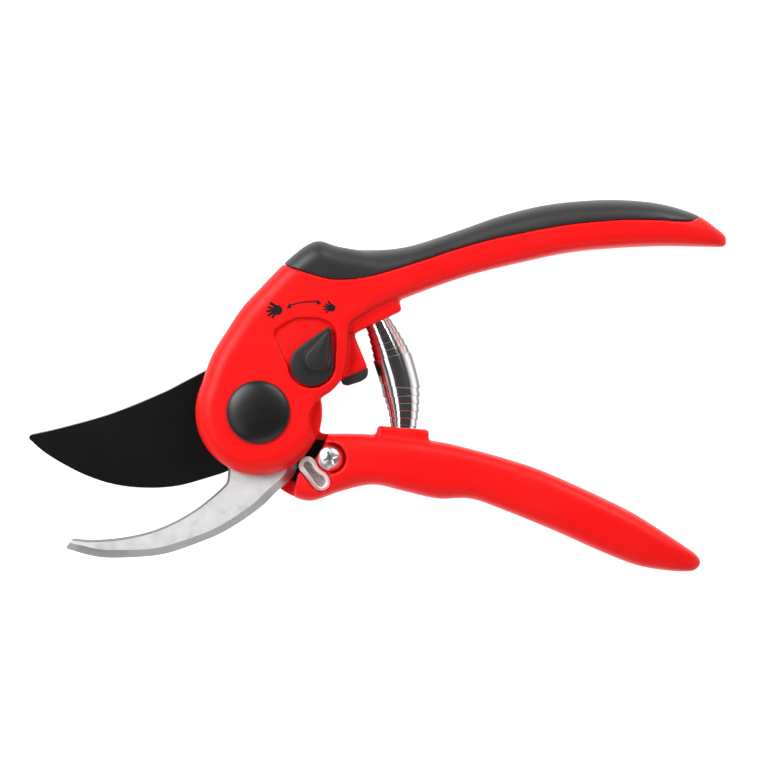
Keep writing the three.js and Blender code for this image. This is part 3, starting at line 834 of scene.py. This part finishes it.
screw = turned("blade_screw_head", [
    (0, 1.6), (1.9, 1.6), (2.4, 2.1), (2.4, SEAT), (3.75, SEAT), (3.9, SEAT + 0.15),
    (3.9, HEAD - 0.1), (3.88, HEAD + 0.1), (3.8, HEAD + 0.22), (3.5, HEAD + 0.5),
    (2.9, HEAD + 0.85), (2.1, HEAD + 1.15), (1.2, HEAD + 1.34), (0, DOME),
], SCREW, 64)
for turn in (20, 110):
    cut(screw, block("cross_arm", (*SCREW, DOME), (4.3, 0.8, 2.2), turn))
cut(screw, disc("cross_middle", SCREW, 0.85, HEAD - 0.9, HEAD + 3, 24))
bevel(screw, 0.1, 2, 40)
insert = turned("blade_insert_ring", [
    (2.45, 1.5), (2.7, 1.2), (3.45, 1.2), (3.6, 1.35), (3.6, 6.95), (2.45, 6.95),
], SCREW, 64)
tell("screw", screw)
tell("insert", insert)

# %% [markdown]
# ## The return spring
#
# A volute spring is a flat strip wound so that each turn slides inside the next. The turns are
# widest in the middle, and the axis bows between the two cups. A screw modifier winds only about a
# straight axis and with one pitch. So the strip is a skin again: its section goes round and round
# a curve that starts and ends square to the cups.

# %% The axis of the spring
TURNS = 13
STRIP = 0.26
MIDDLE_BAND = 10.6
END_BAND = 5.4
WIDEST_R = 5.85
STEP_IN = 0.36
FRONT_RIGHT = math.radians(45)
TURN_STEPS = 44
NEARBY = 0.01


def spring_axis():
    seat = CUP_HOLE_DEPTH - 0.3 - END_BAND / 2
    lower_way = LOWER_CUP["slope"] + 90
    upper_way = UPPER_CUP["slope"] - 90
    start = polar(LOWER_CUP["at"], -seat, lower_way)
    end = polar(UPPER_CUP["at"], -seat, upper_way)
    reach = math.dist(start, end) / 3
    bows = (start, polar(start, reach, lower_way), polar(end, reach, upper_way), end)
    a, b, c, d = (Vector(p) for p in bows)
    line = [
        a * (1 - t) ** 3 + 3 * b * t * (1 - t) ** 2 + 3 * c * t**2 * (1 - t) + d * t**3
        for t in (i / 60 for i in range(61))
    ]
    return line_at([tuple(p) for p in line], 1), sum((b - a).length for a, b in zip(line, line[1:]))


spring_at, spring_length = spring_axis()
pitch = (spring_length / 2 - (MIDDLE_BAND - END_BAND) / 2) / (TURNS / 2)
print("spring axis:", round(spring_length, 1), "mm, pitch:", round(pitch, 2), "mm")

# %% The volute spring
# Round the strip: outwards or inwards, along the axis, and how far the corner is eased back.
STRIP_CORNERS = [
    (-1, -1, 0.1), (-0.5, -1, 0), (0.5, -1, 0), (1, -1, 0.1), (1, -0.5, 0), (1, 0, 0), (1, 0.5, 0),
    (1, 1, 0.1), (0.5, 1, 0), (-0.5, 1, 0), (-1, 1, 0.1), (-1, 0.5, 0), (-1, 0, 0), (-1, -0.5, 0),
]


def strip_place(u, v):
    """Each turn slides inside the next one towards the middle, whose band is the widest."""
    turn = (u - 0.5) * TURNS
    away = abs(turn)
    band = END_BAND + (MIDDLE_BAND - END_BAND) * (1 - smooth_step(away, 0, 0.6))
    centre = math.copysign(MIDDLE_BAND / 2 + pitch * away - band / 2, turn)
    inward = smooth_step(away, 0.3, 0.9) + max(away - 0.9, 0)
    radial, axial, eased = STRIP_CORNERS[round(v * len(STRIP_CORNERS)) % len(STRIP_CORNERS)]
    out = WIDEST_R - STEP_IN * inward + radial * STRIP / 2
    share = 0.5 + (centre + axial * (band / 2 - eased)) / spring_length
    tangent = (spring_at(share + NEARBY) - spring_at(share - NEARBY)).normalized()
    angle = FRONT_RIGHT + 2 * math.pi * turn
    side = Vector((tangent.y, -tangent.x))
    flat = spring_at(share) + side * out * math.cos(angle)
    return (*flat, MIDDLE + out * math.sin(angle))


spring = skin("return_spring", TURNS * TURN_STEPS, len(STRIP_CORNERS), strip_place)
tell("spring", spring)

# %% [markdown]
# ## Printed signs beside the dial
#
# A wide hand, a small hand and an arrow between them say which way the dial opens the blades
# further. Such signs are usually ink pressed on by a pad. They could be painted with a mask in the
# red finish, but then their edges depend on how finely it is baked. So they are thin slabs that
# stand 0.05 mm out of the front plate.

# %% Hands and arrow
PRINT = (FRONT - 0.2, FRONT + 0.05)


def stroke(name, start, end, r, way):
    """A line with round ends."""
    outline = [*arc(start, r, way + 90, way + 270, 6), *arc(end, r, way - 90, way + 90, 8)]
    return slab(name, outline, *PRINT)


def hand(name, centre, size, turn):
    """A simple open hand: a rounded palm, four fingers and a thumb."""
    palm = slab(name, arc(centre, 0.27 * size, 0, 345, 23), *PRINT)
    for spread, reach in ((-38, 0.5), (-14, 0.56), (10, 0.56), (36, 0.48)):
        way = turn + spread
        root = polar(centre, 0.2 * size, way)
        tip = polar(centre, reach * size, way)
        weld(palm, stroke("finger", root, tip, 0.065 * size, way))
    base = polar(centre, 0.18 * size, turn - 90)
    way = turn - 55
    return weld(palm, stroke("thumb", base, polar(base, 0.34 * size, way), 0.08 * size, way))


def arrow(name, centre, r, start, end):
    """A curved line with a head at each end."""
    half = 0.2
    outline = [*arc(centre, r + half, start, end, 24), *arc(centre, r - half, end, start, 24)]
    piece = slab(name, outline, *PRINT)
    for at, way in ((start, 1), (end, -1)):
        point = polar(centre, r - 0.35, at - way * 2.2)
        corners = [polar(centre, r + side, at + way * 2.2) for side in (0.75, -0.95)]
        weld(piece, slab("head", [point, *corners], *PRINT))
    return piece


signs = [
    hand("sign_wide_hand", (5.9, 31.2), 5.6, 200),
    hand("sign_small_hand", (22.5, 31.9), 4.2, 185),
    arrow("sign_arrow", DIAL, 19.2, 83, 112),
]
print("signs:", [sign.name for sign in signs])

# %% [markdown]
# ## Finishes
#
# Paint, plating, rubber and ground steel look real because nothing on them is quite even. Pictures
# of each surface would need an unwrapped mesh. So every finish starts from two noises, worked out
# from each point's place: a fine grain for the height, and slow patches for the colour. They are
# made once as a node group and placed in each material with its own values. Stretched grain makes
# the brushed lines of ground steel.

# %% Helpers for nodes
def new_group(name, inputs, outputs):
    group = bpy.data.node_groups.new(name, "ShaderNodeTree")
    add_socket = group.interface.new_socket
    for key, value in inputs.items():
        socket = add_socket(key, in_out="INPUT", socket_type="NodeSocketFloat")
        socket.default_value = value
    for key in outputs:
        add_socket(key, in_out="OUTPUT", socket_type="NodeSocketFloat")
    return group, group.nodes.new("NodeGroupInput"), group.nodes.new("NodeGroupOutput")


def add(tree, kind, **settings):
    node = tree.nodes.new(kind)
    for key, value in settings.items():
        setattr(node, key, value)
    return node


def fill(node, values):
    """Sets inputs of a node by their names or numbers."""
    for key, value in values.items():
        node.inputs[key].default_value = value
    return node

# %% The grain
def grain_group():
    """Fine noise over the object, as a height, and slower noise of its own size, for patches."""
    group, given, result = new_group(
        "fine_grain", {"Scale": 800.0, "Patch Scale": 55.0, "Stretch": 1.0}, ["Height", "Patches"],
    )
    place = add(group, "ShaderNodeTexCoord")
    stretch = fill(add(group, "ShaderNodeCombineXYZ"), {"Y": 1, "Z": 1})
    scaled = add(group, "ShaderNodeVectorMath", operation="MULTIPLY")
    fine = fill(add(group, "ShaderNodeTexNoise"), {"Detail": 3})
    slow = fill(add(group, "ShaderNodeTexNoise"), {"Detail": 4})
    link = group.links.new
    link(given.outputs["Stretch"], stretch.inputs["X"])
    link(place.outputs["Object"], scaled.inputs[0])
    link(stretch.outputs[0], scaled.inputs[1])
    link(scaled.outputs[0], fine.inputs["Vector"])
    link(given.outputs["Scale"], fine.inputs["Scale"])
    link(place.outputs["Object"], slow.inputs["Vector"])
    link(given.outputs["Patch Scale"], slow.inputs["Scale"])
    link(fine.outputs["Fac"], result.inputs["Height"])
    link(slow.outputs["Fac"], result.inputs["Patches"])
    return group


GRAIN = grain_group()
print("effects:", GRAIN.name)

# %% [markdown]
# One recipe makes every material, because they differ in numbers and not in kind. The base colour
# drifts between two close tones with the slow patches, the roughness drifts with them, and the
# grain gives the bump. A narrow spread of patches turns the drift into a hard speckle, for the
# rough floor of the key. The spring's sides carry painted shade: its colour darkens where a face
# turns sideways, as bright metal looks darker at its edges and where its turns face each other.

# %% Painted shade on the sides
SIDE_BELOW = 0.4
FRONT_ABOVE = 0.72


def paint_flank_shade(tree, tone, share):
    """Paints shade: leaves a share of the tone on the sides, and all of it on the front and back."""
    place = add(tree, "ShaderNodeTexCoord")
    parts = add(tree, "ShaderNodeSeparateXYZ")
    upright = add(tree, "ShaderNodeMath", operation="ABSOLUTE")
    unshaded_share = add(tree, "ShaderNodeMapRange", interpolation_type="SMOOTHSTEP")
    fill(unshaded_share, {"From Min": SIDE_BELOW, "From Max": FRONT_ABOVE, "To Min": share, "To Max": 1})
    kept = add(tree, "ShaderNodeVectorMath", operation="SCALE")
    link = tree.links.new
    link(place.outputs["Normal"], parts.inputs[0])
    link(parts.outputs["Z"], upright.inputs[0])
    link(upright.outputs[0], unshaded_share.inputs["Value"])
    link(tone, kept.inputs[0])
    link(unshaded_share.outputs["Result"], kept.inputs["Scale"])
    link(kept.outputs[0], tree.nodes["Principled BSDF"].inputs["Base Color"])

# %% The material recipe
def finish(
    name, tones, roughness, grain, bump, metallic=0.0, gloss=0.5, patches=55, stretch=1.0,
    flank_shade=1.0, spread=(0.0, 1.0),
):
    """Two tones, a range of roughness, the grain's scale, and the bump's strength and depth."""
    material = bpy.data.materials.new(name)
    material.use_nodes = True
    tree = material.node_tree
    shader = tree.nodes["Principled BSDF"]
    fill(shader, {"Metallic": metallic, "Specular IOR Level": gloss})
    texture = add(tree, "ShaderNodeGroup", node_tree=GRAIN)
    fill(texture, {"Scale": grain, "Patch Scale": patches, "Stretch": stretch})
    tone = add(tree, "ShaderNodeMix", data_type="RGBA")
    fill(tone, {6: (*tones[0], 1), 7: (*tones[1], 1)})
    drift = fill(add(tree, "ShaderNodeMapRange"), {"From Min": spread[0], "From Max": spread[1]})
    rough = fill(add(tree, "ShaderNodeMapRange"), {
        "From Min": 0.3, "From Max": 0.7, "To Min": roughness[0], "To Max": roughness[1],
    })
    raised = add(tree, "ShaderNodeBump")
    fill(raised, {"Strength": bump[0], "Distance": bump[1] * MM})
    link = tree.links.new
    link(texture.outputs["Patches"], drift.inputs["Value"])
    link(drift.outputs["Result"], tone.inputs[0])
    link(texture.outputs["Patches"], rough.inputs["Value"])
    link(texture.outputs["Height"], raised.inputs["Height"])
    link(raised.outputs["Normal"], shader.inputs["Normal"])
    link(rough.outputs["Result"], shader.inputs["Roughness"])
    link(tone.outputs[2], shader.inputs["Base Color"])
    # Painted shade on the sides of the piece, when their share of the tone is below 1.
    if flank_shade < 1:
        paint_flank_shade(tree, tone.outputs[2], flank_shade)
    return material

# %% Paint and coating
RED = finish(
    "red_enamel", [(0.87, 0.0060, 0.0055), (0.82, 0.0042, 0.0045)], (0.37, 0.47), 520,
    (0.10, 0.10), gloss=0.22,
)
GRIP = finish(
    "soft_grip", [(0.022, 0.020, 0.020), (0.017, 0.016, 0.016)], (0.36, 0.46), 1500,
    (0.35, 0.12), gloss=0.5,
)
COATING = finish(
    "black_coating", [(0.0040, 0.0038, 0.0038), (0.0028, 0.0027, 0.0027)], (0.34, 0.46), 900,
    (0.12, 0.05), gloss=0.17, stretch=0.15,
)

# %% Metals
STEEL = finish(
    "satin_steel", [(0.99, 0.99, 0.99), (0.80, 0.80, 0.80)], (0.46, 0.58), 1600,
    (0.3, 0.06), metallic=1.0, patches=260, stretch=0.08,
)
# A darker copy of the steel: painted shade on the hook's tilted bevel, and the ground faces of the
# cutting blade.
GROUND_AND_SHADE = finish(
    "ground_bevel_and_painted_shade", [(0.38, 0.38, 0.38), (0.32, 0.32, 0.32)], (0.36, 0.46), 1900,
    (0.3, 0.06), metallic=1.0, patches=120, stretch=0.05,
)
# The spring's chrome keeps 0.16 of its tone on the sides, as painted shade.
CHROME = finish(
    "bright_chrome", [(0.88, 0.88, 0.88), (0.80, 0.80, 0.80)], (0.07, 0.14), 700,
    (0.08, 0.04), metallic=1.0, flank_shade=0.16,
)
NICKEL = finish(
    "polished_nickel", [(0.97, 0.97, 0.96), (0.92, 0.92, 0.91)], (0.48, 0.58), 700,
    (0.08, 0.04), metallic=1.0,
)
PITTED = finish(
    "pitted_nickel", [(0.52, 0.52, 0.52), (0.03, 0.03, 0.03)], (0.40, 0.60), 4500,
    (0.9, 0.12), metallic=1.0, patches=6500, spread=(0.42, 0.62),
)
ZINC = finish(
    "zinc_plate", [(0.92, 0.92, 0.92), (0.82, 0.82, 0.83)], (0.26, 0.40), 900,
    (0.15, 0.05), metallic=1.0,
)
BRONZE = finish(
    "bronze", [(0.50, 0.31, 0.13), (0.40, 0.25, 0.11)], (0.28, 0.42), 900,
    (0.15, 0.05), metallic=1.0,
)

# %% Plastic, rubber and ink
PLASTIC = finish(
    "black_plastic", [(0.022, 0.021, 0.021), (0.016, 0.016, 0.016)], (0.36, 0.48), 1300,
    (0.25, 0.06), gloss=0.4,
)
CAP = finish(
    "cap_plastic", [(0.0080, 0.0085, 0.0083), (0.0062, 0.0066, 0.0065)], (0.30, 0.42), 1100,
    (0.2, 0.05), gloss=0.45,
)
RUBBER = finish(
    "black_rubber", [(0.030, 0.030, 0.029), (0.022, 0.022, 0.021)], (0.60, 0.76), 1500,
    (0.4, 0.1), gloss=0.3,
)
INK = finish(
    "print_ink", [(0.014, 0.008, 0.012), (0.010, 0.006, 0.009)], (0.45, 0.6), 900,
    (0.1, 0.02), gloss=0.2,
)
print("finishes:", len(bpy.data.materials))

# %% [markdown]
# ## Putting the pieces on the frame
#
# In use the lower handle swings, the dial turns and the spring gives way. Armatures could do that,
# but the frame knows the joints already. So each finished piece but the spring rides on its body
# and hides the plain node it stands for. The spring hides its node too, and rides on no body.
# Small hidden nodes whose shape is right stay, and get a finish.

# %% How a piece is seated
def seat(piece, body, material, slot, *nodes, angle=30):
    only(piece)
    piece.data.materials.clear()
    piece.data.materials.append(material)
    bpy.ops.object.shade_smooth_by_angle(angle=math.radians(angle))
    if nodes:
        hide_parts(*nodes)
    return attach(piece, body) if body else piece

# %% Seat the pieces
upper.name = "upper_handle_casting"
seat(upper, "upper_handle", RED, "red_enamel", "upper_handle_body", angle=60)
seat(grip, "upper_handle", GRIP, "soft_grip", "upper_grip_overmould", angle=60)
seat(lower, "lower_handle", RED, "red_enamel", "lower_handle_body", angle=60)
seat(hook, "upper_handle", STEEL, "ground_steel", "counter_blade", angle=12)
seat(blade, "lower_handle", COATING, "black_coating", "cutting_blade", angle=12)
seat(cap, "upper_handle", CAP, "black_plastic", "pivot_cap")
seat(nut, "upper_handle", ZINC, "zinc_plate", "pivot_nut")
seat(bolt, "upper_handle", ZINC, "zinc_plate", "pivot_bolt")
seat(knob, "dial", PLASTIC, "black_plastic", "dial_knob")
seat(bumper, "upper_handle", RUBBER, "black_rubber", "bumper")
seat(key, "lower_handle", NICKEL, "bright_chrome", "blade_key")
seat(screw, "lower_handle", ZINC, "zinc_plate", "blade_screw")
seat(insert, "lower_handle", BRONZE, "bronze", "blade_screw_insert")
for sign in signs:
    seat(sign, "upper_handle", INK, "black_plastic")
seat(spring, None, CHROME, "bright_chrome", "volute_spring")
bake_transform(spring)
made = [o for o in bpy.data.objects if o.type == "MESH" and o.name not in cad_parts]
print("finished pieces:", len(made))

# %% [markdown]
# The hook's bevel is the same steel as its flat, but it takes a darker copy as painted shade, where
# the tilted faces catch less light. On the cutting blade the darker steel marks its ground and
# eased faces. The key's floor is rough where its rim is bright. Such faces could be split off as
# pieces of their own, but they are one piece of metal. So they only take a second material, and are
# found by which way they look.

# %% Faces with a finish of their own
def face_finish(piece, material, test):
    """Gives another finish to the faces that pass a test of their middle and normal."""
    piece.data.materials.append(material)
    for face in piece.data.polygons:
        if test(face.center / MM, face.normal):
            face.material_index = len(piece.data.materials) - 1


# Painted shade: the hook's tilted bevel faces take the darker steel.
face_finish(hook, GROUND_AND_SHADE, lambda middle, n: 0.2 < n.z < 0.97)
face_finish(blade, GROUND_AND_SHADE, lambda middle, n: middle.x < -12 and (
    -0.97 < n.z < -0.5 or 0.3 < n.z < 0.9 < n.y + n.z
))
face_finish(key, PITTED, lambda middle, n: n.z > 0.95 and abs(middle.z - KEY_FLOOR) < 0.05)
for piece in (hook, blade, key):
    second = sum(face.material_index for face in piece.data.polygons)
    print(piece.name, "has", second, "faces in its second finish")

# %% The nodes that stay
KEPT = {
    "counter_blade_pin_1": ZINC, "counter_blade_pin_2": ZINC, "pivot_bushing": BRONZE,
    "pivot_washer": ZINC, "pivot_spring_washer": ZINC, "dial_cam": ZINC, "dial_wave_washer": ZINC,
    "dial_screw": ZINC,
}
for name, material in KEPT.items():
    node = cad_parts[name]
    node.data.materials.clear()
    node.data.materials.append(material)
print("nodes that keep their shape:", len(KEPT))

# %% [markdown]
# ## Table, light and camera
#
# Small bright tools are shown on white, with no hard shadows: on a pale seamless table that glows a
# little. One big lamp would light them too, but polished metal shows what stands round it. So a
# broad soft key light stands at the upper left, a weaker one at the upper right, a low one below,
# and a narrow strip at the left gives the spring its white band. The room is a light tent, white
# round the sides and dark above, for the white bands and the dark middle of bright metal.

# %% Table
TABLE_SIZE = 3
BELOW = 0.0002
bpy.ops.object.select_all(action="DESELECT")
bpy.ops.mesh.primitive_plane_add(size=TABLE_SIZE, location=(0.04, 0, -BELOW))
table = named("table")
bpy.ops.object.transform_apply(location=True, rotation=True, scale=True)
pale = bpy.data.materials.new("pale_table")
pale.use_nodes = True
paper = pale.node_tree.nodes["Principled BSDF"]
fill(paper, {
    "Base Color": (0.45, 0.45, 0.45, 1), "Roughness": 0.8, "Emission Color": (1, 1, 1, 1),
    "Emission Strength": 0.95,
})
table.data.materials.append(pale)
print("table:", TABLE_SIZE, "m square")

# %% Lights
def soft_light(name, place, target, size, power):
    data = bpy.data.lights.new(name, "AREA")
    data.shape = "RECTANGLE"
    data.size, data.size_y = size
    data.energy = power
    lamp = bpy.data.objects.new(name, data)
    bpy.context.scene.collection.objects.link(lamp)
    lamp.location = place
    lamp.rotation_euler = (Vector(target) - Vector(place)).to_track_quat("-Z", "Y").to_euler()


AIM = (0.038, 0.008, 0.01)
soft_light("key", (-0.50, 0.42, 0.66), AIM, (0.55, 0.55), 8.0)
soft_light("fill", (0.48, 0.56, 0.58), AIM, (0.6, 0.5), 4.4)
soft_light("low", (0.25, -0.66, 0.58), AIM, (0.9, 0.4), 1.4)
soft_light("strip", (-0.376, -0.096, 0.56), AIM, (0.5, 0.24), 0.6)
print("lights:", len(bpy.data.lights))

# %% The light tent
world = bpy.data.worlds.new("room")
world.use_nodes = True
sky = world.node_tree
way = add(sky, "ShaderNodeTexCoord")
split = add(sky, "ShaderNodeSeparateXYZ")
tent = add(sky, "ShaderNodeMapRange")
fill(tent, {"From Min": 0.12, "From Max": 0.5, "To Min": 1.0, "To Max": 0.05})
sky.links.new(way.outputs["Generated"], split.inputs[0])
sky.links.new(split.outputs["Z"], tent.inputs["Value"])
sky.links.new(tent.outputs["Result"], sky.nodes["Background"].inputs["Strength"])
fill(sky.nodes["Background"], {"Color": (1, 1, 1, 1)})
bpy.context.scene.world = world
bpy.context.scene.view_settings.view_transform = "Standard"
print("room:", world.name)

# %% [markdown]
# The camera looks straight down, square to the blades. A flat view without perspective would do
# nearly the same, but a long lens from far away still shows a trace of depth, as a real one does.

# %% Camera
FRAME_WIDTH = 235.5
FRAME_HEIGHT_AT = 15
VIEW_CENTRE = (38.5, 8.6)
LENS = 300
camera_data = bpy.data.cameras.new("camera")
camera_data.lens = LENS
camera_data.clip_start = 0.05
camera_data.clip_end = 20
camera = bpy.data.objects.new("camera", camera_data)
bpy.context.scene.collection.objects.link(camera)
distance = FRAME_WIDTH * LENS / camera_data.sensor_width + FRAME_HEIGHT_AT
camera.location = Vector((*VIEW_CENTRE, distance)) * MM
bpy.context.scene.camera = camera
print("camera:", [round(x, 3) for x in camera.location])

# %% Leave the upper handle selected
only(upper)
bpy.context.view_layer.update()
